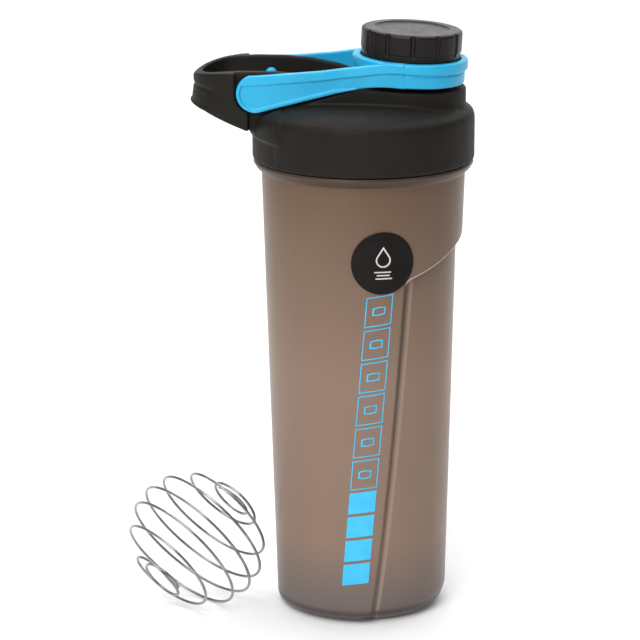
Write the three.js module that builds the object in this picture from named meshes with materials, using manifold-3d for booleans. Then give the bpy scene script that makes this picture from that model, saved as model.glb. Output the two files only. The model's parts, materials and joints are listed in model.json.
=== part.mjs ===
// Protein shaker bottle: translucent cup, screw lid with carry loop, strap-held spout cap, wire mixer ball.
// Millimetres, +Z up. The origin is the centre of the cup's base; the carry loop points to -X, the spout to +X.

import * as THREE from 'three';
import { mergeVertices } from 'three/addons/utils/BufferGeometryUtils.js';
import Module from 'manifold-3d';

const wasm = await Module();
wasm.setup();

// ---- driving dimensions ----

const GAP = 0.3;                 // free space between neighbouring pieces
const AROUND = 56;               // facets round a large turned piece
const AROUND_SMALL = 40;         // facets round the spout, cap and strap ring
const FAR = 200;                 // reach of a cutting block past what it cuts
const DEGREE = Math.PI / 180;
const TURN = Math.PI * 2;

const CUP = {
  baseRadius: 35.6,              // outer radius that the tapered wall has at z = 0
  taper: 0.0345,                 // growth of the outer radius per millimetre of height
  wall: 1.8,
  floor: 2.4,
  corner: 5.0,                   // rounding between base and wall
  footInner: 26.6,               // the foot ring's inner edge
  padRadius: 11.0,               // flat centre pad, level with the foot ring
  footRecess: 1.4,
  footSlope: 1.0,                // the recess's sides slope this much
  beadBottom: 187.6,             // a flange under the lid's skirt, sloping in to the wall in two steps
  beadStep: { radius: 44.4, height: 189.0 },
  beadFace: { radius: 45.4, height: 190.8 },
  beadTop: 191.8,
  beadRadius: 45.2,
  beadEdge: 0.4,
  neckRadius: 41.0,
  neckInner: 39.0,
  innerEase: 2.0,                // the inside starts to narrow this far below the flange
  rim: 206.5,
  rimEdge: 0.5,
};

const GRIP = {                   // flattened hand recess on the +X side
  halfWidth: 34.95,
  cornerHeight: 148.0,
  crownHeight: 160.6,
  radiusAtBase: 35.1,            // outer radius that the recess floor has at z = 0
  taper: 0.0215,
  footAcross: 8.0,               // its floor curves in to the foot in a quarter of an ellipse
  footUp: 10.0,
  archPower: 1.45,               // how squarely the arch turns down at its sides
  archSteps: 12,
  startX: 5.0,                   // the cut's flat back, hidden inside the cup
};

const LABEL = { radius: 13.0, thickness: 0.5, height: 156.4, azimuth: 17.2 * DEGREE, margin: 2.0 };

const THREAD = {                 // lid thread, one start, right hand
  lead: 5.0,
  turns: 1.25,
  neckStart: 196.0,
  rootWidth: 2.4,
  crestWidth: 1.0,
  neckCrest: 42.5,
  lidCrest: 41.8,
  steps: 36,
};

const LID = {
  radius: 45.8,
  inner: 43.2,
  bottom: 192.3,
  bevelWidth: 0.7,
  bevelHeight: 1.0,
  shoulderStart: 208.2,
  shoulderEase: { inwards: 0.4, height: 2.6 },
  shoulderTop: 212.5,
  shoulderRadius: 44.3,
  deckEdgeRadius: 41.6,
  deckEdge: 214.6,
  deckMidRadius: 31.0,
  deckMid: 217.2,
  deckCrown: 218.2,
  deckThickness: 2.3,
  seat: 209.1,                   // underside that the gasket lies against
  seatInner: 38.4,
  seatStep: 2.0,                 // depth of the recess inside the seat
};

const GASKET = { inner: 39.2, outer: 42.7, height: 2.0 };

const SPOUT = {                  // everything here is in the spout's own tilted frame
  x: 18.7,
  z: 223.1,                      // centre of the tower's top
  tilt: 3 * DEGREE,              // the spout leans this far to +X
  bore: 11.8,
  radius: 14.4,
  lipChamfer: 0.8,
  top: 19.0,
  foot: -6.0,                    // the neck's wall starts inside the tower
  boreFoot: -30.0,
  threadStart: 7.4,
  threadLead: 3.6,
  threadTurns: 1.5,
  threadWidth: 1.6,
  threadCrestWidth: 0.7,
  crest: 15.2,
  threadSteps: 28,
};

const TOWER = {                  // raised plinth that carries the spout and the strap's ledge
  halfWidth: 22.7,
  centreX: 19.4,
  left: -38.4,
  bottom: 211.5,
  wall: 2.4,
  hollowRadius: 37.4,            // the hollow stays inside the gasket's seat
  kneeX: 0.0,                    // its top falls away to -X from here
  leftTop: 212.5,
};

const PIVOT = { x: -40.3, z: 223.0 };     // axis of the strap's pegs, along Y
// The round end of the strap's arms, its centre a little behind the pegs.
const ARM_END = { x: -41.9, z: 221.6, radius: 7.8, top: 229.0, from: 97 * DEGREE, to: 287 * DEGREE, steps: 16 };

// Shallow hollows in the lid's deck that the round ends sweep through, outside the loop's band.
const SWING_ROOM = { radius: 10.3, from: 250 * DEGREE, to: 335 * DEGREE, steps: 10, outer: 24.4 };

const LOOP = {                   // carry loop, moulded with the lid
  topLine: [[-12.0, 227.2], [-24.0, 229.5], [-34.0, 230.3], [-46.0, 230.2], [-60.0, 229.1], [-66.5, 227.8]],
  centreX: -49.0,                // centre of the half ellipse that closes the loop
  reach: 21.3,
  halfWidth: 24.2,
  wall: 3.8,
  bandOuter: 20.9,               // rebated part that the strap's arms lie against
  bandInner: 17.1,
  rebateGap: 0.55,               // between the rebate's shoulder and an arm's round end
  rebateEnd: 250 * DEGREE,       // where the shoulder leaves the round end and runs straight down
  tipBottom: 214.2,              // the band's lower edge, from the tip towards the skirt
  tipTop: 225.8,
  tipUnder: { length: 6.0, drop: 1.2 },
  footX: -55.5,
  footBottom: 210.2,
  rootX: -40.2,
  rootBottom: 204.2,
  rootStep: 210.6,
  wallEndX: -2.0,
  wallEndBottom: 216.0,
  wallEndTop: 223.9,
  endSteps: 24,
};

const ROOT_PAD = {                // thickened skirt and shoulder where the loop springs from them
  radius: 47.0,
  bottom: 202.6,
  top: 216.3,
  innerRadius: 37.5,
  halfWidth: 35.0,
  maxX: -30.5,
  overShoulder: 0.9,             // how far it stands above the lid's shoulder and deck
  sunk: 1.0,                     // its foot starts this far inside the skirt
  rounding: 3.0,                 // height of its outer edge's slope
  edge: 0.8,
  slotHalfWidth: 24.4,           // between the pads the strap's arms swing above this height
  slotBottom: 211.5,
};

const STRAP = {
  ringInner: 20.6,
  ringWall: 22.6,
  ringBead: 23.7,
  ringBottom: 1.9,
  ringTop: 11.9,
  beadBottom: 7.7,
  snapInner: 19.7,
  snapBottom: 5.9,
  snapTop: 7.7,
  edge: 0.4,                     // small slopes on the ring's lower edge and its snap rib
  beadEdge: 0.8,
  armInner: 21.2,
  armOuter: 23.7,
  // Where an arm's upper edge leaves the ring's top, and its lower edge the ring's foot: [x, height above the ring's].
  armAbove: [[14.0, 0.0], [9.0, -0.7], [4.5, -1.45], [0.0, -2.4], [-5.0, -3.2], [-15.0, -5.2], [-36.0, -8.3]],
  armBelow: [[-9.0, -4.0], [-5.0, -2.9], [-1.0, -1.7], [3.0, -0.9], [8.0, -0.3], [14.0, 0.0]],
  panelDepth: 1.1,
  rim: 1.5,                      // width of the raised edge round an arm's panel
  topRim: 3.7,
  pegRadius: 2.0,
  pegHole: 2.3,
  headRadius: 2.5,
  headLength: 1.8,
  pegSunk: 0.5,                  // the peg starts this far inside the arm
};

const CAP = {
  bottom: 0.9,
  collar: 20.2,
  grooveRadius: 19.3,
  grooveBottom: 5.5,
  grooveTop: 8.1,
  gripBottom: 14.6,
  grip: 20.7,
  top: 23.2,
  chamfer: 1.2,
  insetRadius: 15.2,
  insetDepth: 0.6,
  inner: 18.3,
  ceiling: 20.7,
  crest: 17.6,
  collarStep: 0.4,               // height of the groove's sloped edges
  flutes: 12,
  fluteStart: 6.6 * DEGREE,      // direction of the first flute
  fluteRadius: 1.0,
  fluteCentre: 20.6,
};

const LINER = { radius: 16.8, thickness: 1.0 };

const BALL = {
  x: -68.4,
  y: -16.6,
  radius: 29.6,                  // from the coil's axis to the middle of its wire, at the widest turn
  halfLength: 25.6,              // and from its centre towards a pole
  wire: 0.6,                     // half the wire's thickness
  endAngle: 18.4 * DEGREE,       // from the coil's axis to its end turns
  turns: 6.06,
  phase: 221.9 * DEGREE,
  crowding: 0.245,               // how much the open turns crowd together at the poles
  endTurns: 1.14,
  endInset: 1.67,                // each end turn lies this much further inside, per turn
  endShrink: 1.01,
  lean: 35.5 * DEGREE,           // the coil's axis above the ground
  swing: 47.6 * DEGREE,          // and its turn about the vertical
  steps: 210,
  sides: 6,
};

// ---- materials ----

const smoke = new THREE.MeshStandardMaterial({ color: 0x85756a, roughness: 0.35, metalness: 0,
  transparent: true, opacity: 0.6 });
const black = new THREE.MeshStandardMaterial({ color: 0x2c2a28, roughness: 0.5, metalness: 0 });
const blue = new THREE.MeshStandardMaterial({ color: 0x2fb0e4, roughness: 0.4, metalness: 0 });
const seal = new THREE.MeshStandardMaterial({ color: 0xd8d8d4, roughness: 0.7, metalness: 0 });
const vinyl = new THREE.MeshStandardMaterial({ color: 0x231c1a, roughness: 0.35, metalness: 0 });
const steel = new THREE.MeshStandardMaterial({ color: 0xb4b6b8, roughness: 0.25, metalness: 1 });

// ---- joining and cutting ----

function signedVolume(positions, index) {
  const [a, b, c] = [new THREE.Vector3(), new THREE.Vector3(), new THREE.Vector3()];
  let total = 0;
  for (let i = 0; i < index.count; i += 3) {
    a.fromBufferAttribute(positions, index.getX(i));
    b.fromBufferAttribute(positions, index.getX(i + 1));
    c.fromBufferAttribute(positions, index.getX(i + 2));
    total += a.dot(b.cross(c)) / 6;
  }
  return total;
}

function solid(geometry) {
  geometry.deleteAttribute('normal');
  geometry.deleteAttribute('uv');
  const merged = mergeVertices(geometry, 1e-4);
  const positions = merged.attributes.position;
  const inward = signedVolume(positions, merged.index) < 0;
  const triangles = [];
  for (let i = 0; i < merged.index.count; i += 3) {
    const [a, b, c] = [0, 1, 2].map((k) => merged.index.getX(i + k));
    if (a === b || b === c || c === a) continue;
    triangles.push(a, inward ? c : b, inward ? b : c);
  }
  return new wasm.Manifold(new wasm.Mesh({
    numProp: 3,
    vertProperties: new Float32Array(positions.array),
    triVerts: new Uint32Array(triangles),
  }));
}

function joined(first, ...others) {
  return others.reduce((sum, other) => sum.add(other), first);
}

function piece(name, shape, material) {
  const { vertProperties, triVerts } = shape.getMesh();
  const geometry = new THREE.BufferGeometry();
  geometry.setAttribute('position', new THREE.BufferAttribute(vertProperties, 3));
  geometry.setIndex(new THREE.BufferAttribute(triVerts, 1));
  geometry.computeVertexNormals();
  const mesh = new THREE.Mesh(geometry, material);
  mesh.name = name;
  return mesh;
}

// ---- basic shapes ----

const corner = (r, z) => new THREE.Vector2(r, z);

function turnedGeometry(profile, around) {
  return new THREE.LatheGeometry(profile, around).rotateX(Math.PI / 2);
}

// A turned solid whose profile starts and ends on the axis.
function turned(profile, around = AROUND) {
  return solid(turnedGeometry(profile, around));
}

// A turned ring whose profile closes on itself.
function turnedRing(profile, around = AROUND) {
  return turned([...profile, profile[0].clone()], around);
}

// An outline in X and Y, raised along Z.
function raised(outline, bottom, top) {
  const geometry = new THREE.ExtrudeGeometry(new THREE.Shape(outline),
    { depth: top - bottom, bevelEnabled: false });
  return solid(geometry.translate(0, 0, bottom));
}

// An outline in X and Z, drawn out along Y.
function drawnAlongY(outline, from, to) {
  const geometry = new THREE.ExtrudeGeometry(new THREE.Shape(outline),
    { depth: to - from, bevelEnabled: false });
  return solid(geometry.rotateX(Math.PI / 2).translate(0, to, 0));
}

// An outline in Y and Z, drawn out along X.
function drawnAlongX(outline, from, to) {
  const geometry = new THREE.ExtrudeGeometry(new THREE.Shape(outline),
    { depth: to - from, bevelEnabled: false });
  return solid(geometry.rotateX(Math.PI / 2).rotateZ(Math.PI / 2).translate(from, 0, 0));
}

// A rod along Y.
function rod(x, z, radius, from, to, around = 20) {
  const geometry = new THREE.CylinderGeometry(radius, radius, to - from, around);
  return solid(geometry.translate(x, (from + to) / 2, z));
}

function arc(x, y, radius, from, to, steps) {
  const points = [];
  for (let i = 0; i <= steps; i += 1) {
    const angle = from + ((to - from) * i) / steps;
    points.push(corner(x + radius * Math.cos(angle), y + radius * Math.sin(angle)));
  }
  return points;
}

// A screw thread: a straight bar of the thread's section, wound round the Z axis.
function thread({ root, crest, start, lead, turns, rootWidth, crestWidth, steps }) {
  const bar = new THREE.ExtrudeGeometry(new THREE.Shape([
    corner(root, -rootWidth / 2),
    corner(crest, -crestWidth / 2),
    corner(crest, crestWidth / 2),
    corner(root, rootWidth / 2),
  ]), { depth: 1, steps, bevelEnabled: false });
  const at = bar.attributes.position;
  for (let i = 0; i < at.count; i += 1) {
    const wound = at.getZ(i) * turns;
    const radius = at.getX(i);
    at.setXYZ(i, radius * Math.cos(wound * TURN), radius * Math.sin(wound * TURN),
      start + at.getY(i) + wound * lead);
  }
  return solid(bar);
}

// From the spout's own frame into the bottle's.
function onSpout(shape) {
  return shape.rotate([0, SPOUT.tilt / DEGREE, 0]).translate([SPOUT.x, 0, SPOUT.z]);
}

// ---- cup ----

const cupRadius = (z) => CUP.baseRadius + CUP.taper * z;
const gripRadius = (z) => GRIP.radiusAtBase + GRIP.taper * z;

// The space outside the hand recess, whose floor is given from the bottom up.
function gripSpace(offset, floor) {
  const ring = turnedRing([
    corner(floor[0].x, -10),
    corner(FAR, -10),
    corner(FAR, FAR),
    corner(gripRadius(FAR) - offset, FAR),
    ...[...floor].reverse(),
  ]);
  const halfWidth = GRIP.halfWidth + offset;
  const rise = GRIP.crownHeight - GRIP.cornerHeight;
  const arch = [corner(halfWidth, -20)];
  for (let i = 0; i <= GRIP.archSteps * 2; i += 1) {
    const across = 1 - i / GRIP.archSteps;
    const drop = rise * Math.abs(across) ** GRIP.archPower;
    arch.push(corner(halfWidth * across, GRIP.crownHeight + offset - drop));
  }
  arch.push(corner(-halfWidth, -20));
  return ring.intersect(drawnAlongX(arch, GRIP.startX, FAR));
}

function cupOutside() {
  return turned([
    corner(0, 0),
    corner(CUP.padRadius, 0),
    corner(CUP.padRadius + CUP.footSlope, CUP.footRecess),
    corner(CUP.footInner - CUP.footSlope, CUP.footRecess),
    corner(CUP.footInner, 0),
    ...arc(cupRadius(CUP.corner) - CUP.corner, CUP.corner, CUP.corner, -Math.PI / 2, 0, 6),
    corner(cupRadius(CUP.beadBottom), CUP.beadBottom),
    corner(CUP.beadStep.radius, CUP.beadStep.height),
    corner(CUP.beadFace.radius, CUP.beadFace.height),
    corner(CUP.beadRadius, CUP.beadTop - CUP.beadEdge),
    corner(CUP.beadRadius - CUP.beadEdge, CUP.beadTop),
    corner(CUP.neckRadius + CUP.beadEdge, CUP.beadTop),
    corner(CUP.neckRadius, CUP.beadTop + CUP.beadEdge),
    corner(CUP.neckRadius, CUP.rim - CUP.rimEdge),
    corner(CUP.neckRadius - CUP.rimEdge, CUP.rim),
    corner(0, CUP.rim),
  ]);
}

function cupInside() {
  const floor = CUP.footRecess + CUP.floor;
  const rounding = CUP.corner - CUP.wall;
  const wallAt = (z) => cupRadius(z) - CUP.wall;
  return turned([
    corner(0, floor),
    ...arc(wallAt(floor + rounding) - rounding, floor + rounding, rounding, -Math.PI / 2, 0, 4),
    corner(wallAt(CUP.beadBottom - CUP.innerEase), CUP.beadBottom - CUP.innerEase),
    corner(CUP.neckInner, CUP.beadTop),
    corner(CUP.neckInner, CUP.rim + 1),
    corner(0, CUP.rim + 1),
  ]);
}

function cup() {
  const footCurve = arc(0, 0, 1, -Math.PI / 2, 0, 5).map(({ x, y }) => corner(
    gripRadius(GRIP.footUp) - GRIP.footAcross * (1 - x), GRIP.footUp * (1 + y)));
  const outside = cupOutside().subtract(gripSpace(0, footCurve));
  const inside = cupInside().subtract(gripSpace(CUP.wall, [corner(gripRadius(0) - CUP.wall, 0)]));
  const neckThread = thread({
    root: CUP.neckRadius - 0.6,
    crest: THREAD.neckCrest,
    start: THREAD.neckStart,
    lead: THREAD.lead,
    turns: THREAD.turns,
    rootWidth: THREAD.rootWidth,
    crestWidth: THREAD.crestWidth,
    steps: THREAD.steps,
  });
  return outside.subtract(inside).add(neckThread);
}

// A round label that lies on the cup's wall.
function label() {
  const lowest = LABEL.height - LABEL.radius - LABEL.margin;
  const highest = LABEL.height + LABEL.radius + LABEL.margin;
  const inner = (z) => cupRadius(z) + GAP;
  const skin = turnedRing([
    corner(inner(lowest), lowest),
    corner(inner(lowest) + LABEL.thickness, lowest),
    corner(inner(highest) + LABEL.thickness, highest),
    corner(inner(highest), highest),
  ]);
  const punch = new THREE.CylinderGeometry(LABEL.radius, LABEL.radius, FAR, 40);
  punch.translate(0, -FAR / 2, 0);
  punch.rotateZ(LABEL.azimuth).translate(0, 0, LABEL.height);
  return skin.intersect(solid(punch));
}

// ---- lid ----

function lidGasket() {
  const bottom = CUP.rim + GAP;
  return turnedRing([
    corner(GASKET.inner, bottom),
    corner(GASKET.outer, bottom),
    corner(GASKET.outer, bottom + GASKET.height),
    corner(GASKET.inner, bottom + GASKET.height),
  ]);
}

function lidSkirtAndDeck() {
  return turned([
    corner(0, LID.deckCrown - LID.deckThickness),
    corner(LID.deckMidRadius, LID.deckMid - LID.deckThickness),
    corner(LID.seatInner, LID.seat + LID.seatStep),
    corner(LID.seatInner, LID.seat),
    corner(LID.inner, LID.seat),
    corner(LID.inner, LID.bottom),
    corner(LID.radius - LID.bevelWidth, LID.bottom),
    corner(LID.radius, LID.bottom + LID.bevelHeight),
    corner(LID.radius, LID.shoulderStart),
    corner(LID.radius - LID.shoulderEase.inwards, LID.shoulderStart + LID.shoulderEase.height),
    corner(LID.shoulderRadius, LID.shoulderTop),
    corner(LID.deckEdgeRadius, LID.deckEdge),
    corner(LID.deckMidRadius, LID.deckMid),
    corner(0, LID.deckCrown),
  ]);
}

// The plinth under the spout. An inset one of the same shape hollows it.
function tower(inset) {
  const halfWidth = TOWER.halfWidth - inset;
  const plan = [
    ...arc(TOWER.centreX, 0, halfWidth, -Math.PI / 2, Math.PI / 2, 24),
    corner(TOWER.left + inset, halfWidth),
    corner(TOWER.left + inset, -halfWidth),
  ];
  const topAt = (x) => SPOUT.z - Math.tan(SPOUT.tilt) * (x - SPOUT.x) - inset;
  const right = TOWER.centreX + TOWER.halfWidth + 1;
  const side = [
    corner(TOWER.left - 1, TOWER.bottom - inset),
    corner(right, TOWER.bottom - inset),
    corner(right, topAt(right)),
    corner(TOWER.kneeX, topAt(TOWER.kneeX)),
    corner(TOWER.left - 1, TOWER.leftTop - inset),
  ];
  const block = raised(plan, LID.bottom, FAR * 2);
  return block.intersect(drawnAlongY(side, -halfWidth - 1, halfWidth + 1));
}

// Half an ellipse round the loop's tip, between two straight sides that run to the spout.
function loopPlan(halfWidth, reach, sideHalfWidth, endX) {
  const meetX = LOOP.centreX - reach * Math.sqrt(1 - (sideHalfWidth / halfWidth) ** 2);
  const end = arc(0, 0, 1, Math.PI / 2, Math.PI * 1.5, LOOP.endSteps)
    .map(({ x, y }) => corner(LOOP.centreX + reach * x, halfWidth * y))
    .filter(({ y }) => Math.abs(y) < sideHalfWidth - 1e-6);
  return [
    corner(endX, sideHalfWidth),
    corner(meetX, sideHalfWidth),
    ...end,
    corner(meetX, -sideHalfWidth),
    corner(endX, -sideHalfWidth),
  ];
}

// Side outline of the loop, from its tip to the plinth under the spout.
function loopSide() {
  const tip = LOOP.centreX - LOOP.reach;
  return [
    corner(tip - 1, LOOP.tipBottom),
    corner(tip + 1 + LOOP.tipUnder.length, LOOP.tipBottom - LOOP.tipUnder.drop),
    corner(LOOP.footX, LOOP.footBottom),
    corner(LOOP.rootX, LOOP.rootBottom),
    corner(LOOP.rootX, LOOP.rootStep),
    corner(LOOP.wallEndX, LOOP.wallEndBottom),
    corner(LOOP.wallEndX, LOOP.wallEndTop),
    ...LOOP.topLine.map(([x, z]) => corner(x, z)),
    corner(tip - 1, LOOP.tipTop),
  ];
}

// The room that an arm takes beside the loop's wall: behind its round end the loop keeps its full width.
function armRebate(side) {
  const radius = ARM_END.radius + LOOP.rebateGap;
  const shoulder = arc(ARM_END.x, ARM_END.z, radius, Math.PI, LOOP.rebateEnd, 8);
  const outline = [
    corner(ARM_END.x - radius, FAR * 2),
    ...shoulder,
    corner(shoulder[shoulder.length - 1].x, LOOP.rootBottom - 5),
    corner(LOOP.wallEndX + 5, LOOP.rootBottom - 5),
    corner(LOOP.wallEndX + 5, FAR * 2),
  ];
  const [near, far] = [side * LOOP.bandOuter, side * (LOOP.halfWidth + 2)];
  return drawnAlongY(outline, Math.min(near, far), Math.max(near, far));
}

function swingRoom(side) {
  const sweep = arc(PIVOT.x, PIVOT.z, SWING_ROOM.radius, SWING_ROOM.from, SWING_ROOM.to, SWING_ROOM.steps);
  const [near, far] = [side * LOOP.bandOuter, side * SWING_ROOM.outer];
  return drawnAlongY([corner(PIVOT.x, PIVOT.z), ...sweep], Math.min(near, far), Math.max(near, far));
}

function carryLoop() {
  const plan = loopPlan(LOOP.halfWidth, LOOP.reach, LOOP.halfWidth, LOOP.wallEndX);
  const hole = loopPlan(LOOP.halfWidth - LOOP.wall, LOOP.reach - LOOP.wall, LOOP.bandInner, LOOP.wallEndX + 1);
  const band = raised(plan, LID.bottom, FAR * 2).subtract(raised(hole, LID.bottom - 1, FAR * 2 + 1));
  const profiled = band.intersect(drawnAlongY(loopSide(), -LOOP.halfWidth - 1, LOOP.halfWidth + 1));
  const pegHoles = rod(PIVOT.x, PIVOT.z, STRAP.pegHole, -LOOP.halfWidth - 2, LOOP.halfWidth + 2);
  return profiled.subtract(armRebate(1)).subtract(armRebate(-1)).subtract(pegHoles);
}

function rootPad() {
  const ring = turnedRing([
    corner(LID.radius - ROOT_PAD.sunk, ROOT_PAD.bottom),
    corner(ROOT_PAD.radius, ROOT_PAD.bottom + ROOT_PAD.edge),
    corner(ROOT_PAD.radius, LID.shoulderStart + ROOT_PAD.edge),
    corner(ROOT_PAD.radius - ROOT_PAD.edge, LID.shoulderStart + ROOT_PAD.edge + ROOT_PAD.rounding),
    corner(LID.shoulderRadius, LID.shoulderTop + ROOT_PAD.overShoulder),
    corner(LID.deckEdgeRadius, LID.deckEdge + ROOT_PAD.overShoulder),
    corner(ROOT_PAD.innerRadius, ROOT_PAD.top),
    corner(ROOT_PAD.innerRadius, ROOT_PAD.top - 2 * ROOT_PAD.sunk),
    corner(LID.radius - 2 * ROOT_PAD.sunk, LID.shoulderStart),
  ]);
  const block = (halfWidth, bottom) => raised([
    corner(-FAR, -halfWidth),
    corner(ROOT_PAD.maxX, -halfWidth),
    corner(ROOT_PAD.maxX, halfWidth),
    corner(-FAR, halfWidth),
  ], bottom, FAR * 2);
  return ring.intersect(block(ROOT_PAD.halfWidth, 0))
    .subtract(block(ROOT_PAD.slotHalfWidth, ROOT_PAD.slotBottom));
}

function spoutNeck() {
  const tube = turned([
    corner(0, SPOUT.foot),
    corner(SPOUT.radius, SPOUT.foot),
    corner(SPOUT.radius, SPOUT.top - SPOUT.lipChamfer),
    corner(SPOUT.radius - SPOUT.lipChamfer, SPOUT.top),
    corner(0, SPOUT.top),
  ], AROUND_SMALL);
  const screw = thread({
    root: SPOUT.radius - 0.5,
    crest: SPOUT.crest,
    start: SPOUT.threadStart,
    lead: SPOUT.threadLead,
    turns: SPOUT.threadTurns,
    rootWidth: SPOUT.threadWidth,
    crestWidth: SPOUT.threadCrestWidth,
    steps: SPOUT.threadSteps,
  });
  return onSpout(tube.add(screw));
}

function spoutBore() {
  return onSpout(turned([
    corner(0, SPOUT.boreFoot),
    corner(SPOUT.bore, SPOUT.boreFoot),
    corner(SPOUT.bore, SPOUT.top + 1),
    corner(0, SPOUT.top + 1),
  ], AROUND_SMALL));
}

function lidShell() {
  const lidThread = thread({
    root: LID.inner + 0.6,
    crest: THREAD.lidCrest,
    start: THREAD.neckStart - THREAD.lead / 2,
    lead: THREAD.lead,
    turns: THREAD.turns,
    rootWidth: THREAD.rootWidth,
    crestWidth: THREAD.crestWidth,
    steps: THREAD.steps,
  });
  const core = turned([
    corner(0, LID.bottom),
    corner(TOWER.hollowRadius, LID.bottom),
    corner(TOWER.hollowRadius, FAR * 2),
    corner(0, FAR * 2),
  ]);
  const hollow = tower(TOWER.wall).intersect(core);
  const hollowed = lidSkirtAndDeck().add(tower(0)).subtract(hollow);
  return joined(hollowed, lidThread, rootPad(), carryLoop(), spoutNeck())
    .subtract(swingRoom(1)).subtract(swingRoom(-1)).subtract(spoutBore());
}

// ---- strap ----

function strapRing() {
  return onSpout(turnedRing([
    corner(STRAP.ringInner, STRAP.ringBottom),
    corner(STRAP.ringWall - STRAP.edge, STRAP.ringBottom),
    corner(STRAP.ringWall, STRAP.ringBottom + STRAP.edge),
    corner(STRAP.ringWall, STRAP.beadBottom),
    corner(STRAP.ringBead, STRAP.beadBottom + STRAP.beadEdge),
    corner(STRAP.ringBead, STRAP.ringTop - STRAP.beadEdge),
    corner(STRAP.ringBead - STRAP.beadEdge, STRAP.ringTop),
    corner(STRAP.ringInner, STRAP.ringTop),
    corner(STRAP.ringInner, STRAP.snapTop),
    corner(STRAP.snapInner, STRAP.snapTop - STRAP.edge),
    corner(STRAP.snapInner, STRAP.snapBottom + STRAP.edge),
    corner(STRAP.ringInner, STRAP.snapBottom),
  ], AROUND_SMALL));
}

// Side outline of an arm, from its round end at the pegs to the widest part of the ring.
function armOutline(rim, topRim) {
  const slope = Math.tan(SPOUT.tilt);
  const onRing = (h, x) => SPOUT.z + h - slope * (x - SPOUT.x);
  const endX = SPOUT.x - slope * STRAP.ringBottom;
  const highest = ARM_END.top - topRim;
  return [
    corner(endX, onRing(STRAP.ringBottom, endX) + rim),
    corner(endX, onRing(STRAP.ringTop, endX) - topRim),
    ...STRAP.armAbove.map(([x, above]) => corner(x, onRing(STRAP.ringTop, x) + above - topRim)),
    ...arc(ARM_END.x, ARM_END.z, ARM_END.radius - rim, ARM_END.from, ARM_END.to, ARM_END.steps)
      .map(({ x, y }) => corner(x, Math.min(y, highest))),
    ...STRAP.armBelow.map(([x, above]) => corner(x, onRing(STRAP.ringBottom, x) + above + rim)),
  ];
}

// One arm, with its panel sunk into the outer face and a snap peg on the inner one.
function strapArm(side) {
  const along = (a, b) => [Math.min(side * a, side * b), Math.max(side * a, side * b)];
  const plate = drawnAlongY(armOutline(0, 0), ...along(STRAP.armInner, STRAP.armOuter));
  const panel = drawnAlongY(armOutline(STRAP.rim, STRAP.topRim),
    ...along(STRAP.armOuter - STRAP.panelDepth, STRAP.armOuter + 1));
  const headFace = LOOP.bandInner - GAP;
  const headEnd = headFace - STRAP.headLength;
  const peg = rod(PIVOT.x, PIVOT.z, STRAP.pegRadius,
    ...along(headEnd, STRAP.armInner + STRAP.pegSunk));
  const head = rod(PIVOT.x, PIVOT.z, STRAP.headRadius, ...along(headEnd, headFace));
  return joined(plate.subtract(panel), peg, head);
}

function strap() {
  return joined(strapRing(), strapArm(1), strapArm(-1));
}

// ---- cap ----

function capFlutes() {
  const flutes = [];
  for (let i = 0; i < CAP.flutes; i += 1) {
    const angle = (i / CAP.flutes) * TURN + CAP.fluteStart - Math.PI / 2;
    const length = CAP.top - CAP.gripBottom + 2;
    const cutter = new THREE.CylinderGeometry(CAP.fluteRadius, CAP.fluteRadius, length, 10);
    cutter.rotateX(Math.PI / 2);
    cutter.translate(CAP.fluteCentre * Math.cos(angle), CAP.fluteCentre * Math.sin(angle),
      CAP.gripBottom - 1 + length / 2);
    flutes.push(solid(cutter));
  }
  return flutes;
}

function spoutCap() {
  const body = turned([
    corner(0, CAP.ceiling),
    corner(CAP.inner, CAP.ceiling),
    corner(CAP.inner, CAP.bottom),
    corner(CAP.collar, CAP.bottom),
    corner(CAP.collar, CAP.grooveBottom - CAP.collarStep),
    corner(CAP.grooveRadius, CAP.grooveBottom),
    corner(CAP.grooveRadius, CAP.grooveTop),
    corner(CAP.collar, CAP.grooveTop + CAP.collarStep),
    corner(CAP.collar, CAP.gripBottom),
    corner(CAP.grip, CAP.gripBottom + CAP.collarStep),
    corner(CAP.grip, CAP.top - CAP.chamfer),
    corner(CAP.grip - CAP.chamfer, CAP.top),
    corner(CAP.insetRadius + 0.5, CAP.top),
    corner(CAP.insetRadius, CAP.top - CAP.insetDepth),
    corner(0, CAP.top - CAP.insetDepth),
  ], AROUND_SMALL);
  const screw = thread({
    root: CAP.inner + 0.4,
    crest: CAP.crest,
    start: SPOUT.threadStart - SPOUT.threadLead / 2,
    lead: SPOUT.threadLead,
    turns: SPOUT.threadTurns,
    rootWidth: SPOUT.threadWidth,
    crestWidth: SPOUT.threadCrestWidth,
    steps: SPOUT.threadSteps,
  });
  return onSpout(capFlutes().reduce((sum, flute) => sum.subtract(flute), body.add(screw)));
}

function capLiner() {
  return onSpout(turned([
    corner(0, CAP.ceiling - GAP - LINER.thickness),
    corner(LINER.radius, CAP.ceiling - GAP - LINER.thickness),
    corner(LINER.radius, CAP.ceiling - GAP),
    corner(0, CAP.ceiling - GAP),
  ], AROUND_SMALL));
}

// ---- mixer ball ----

// One wire wound as a ball: open turns from pole to pole, ending in a small closed turn at each end.
class BallCurve extends THREE.Curve {
  getPoint(t, target = new THREE.Vector3()) {
    const turn = t * (BALL.turns + BALL.endTurns * 2) - BALL.endTurns;
    const past = Math.max(0, -turn, turn - BALL.turns);
    const share = THREE.MathUtils.clamp(turn / BALL.turns, 0, 1);
    const open = share + (BALL.crowding * Math.sin(share * TURN)) / TURN;
    const polar = BALL.endAngle + (Math.PI - 2 * BALL.endAngle) * open;
    const across = BALL.radius * Math.sin(polar) - BALL.endShrink * past;
    const along = BALL.halfLength * Math.cos(polar);
    const angle = turn * TURN + BALL.phase;
    return target.set(across * Math.cos(angle), across * Math.sin(angle),
      along - Math.sign(along) * BALL.endInset * past);
  }
}

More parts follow.
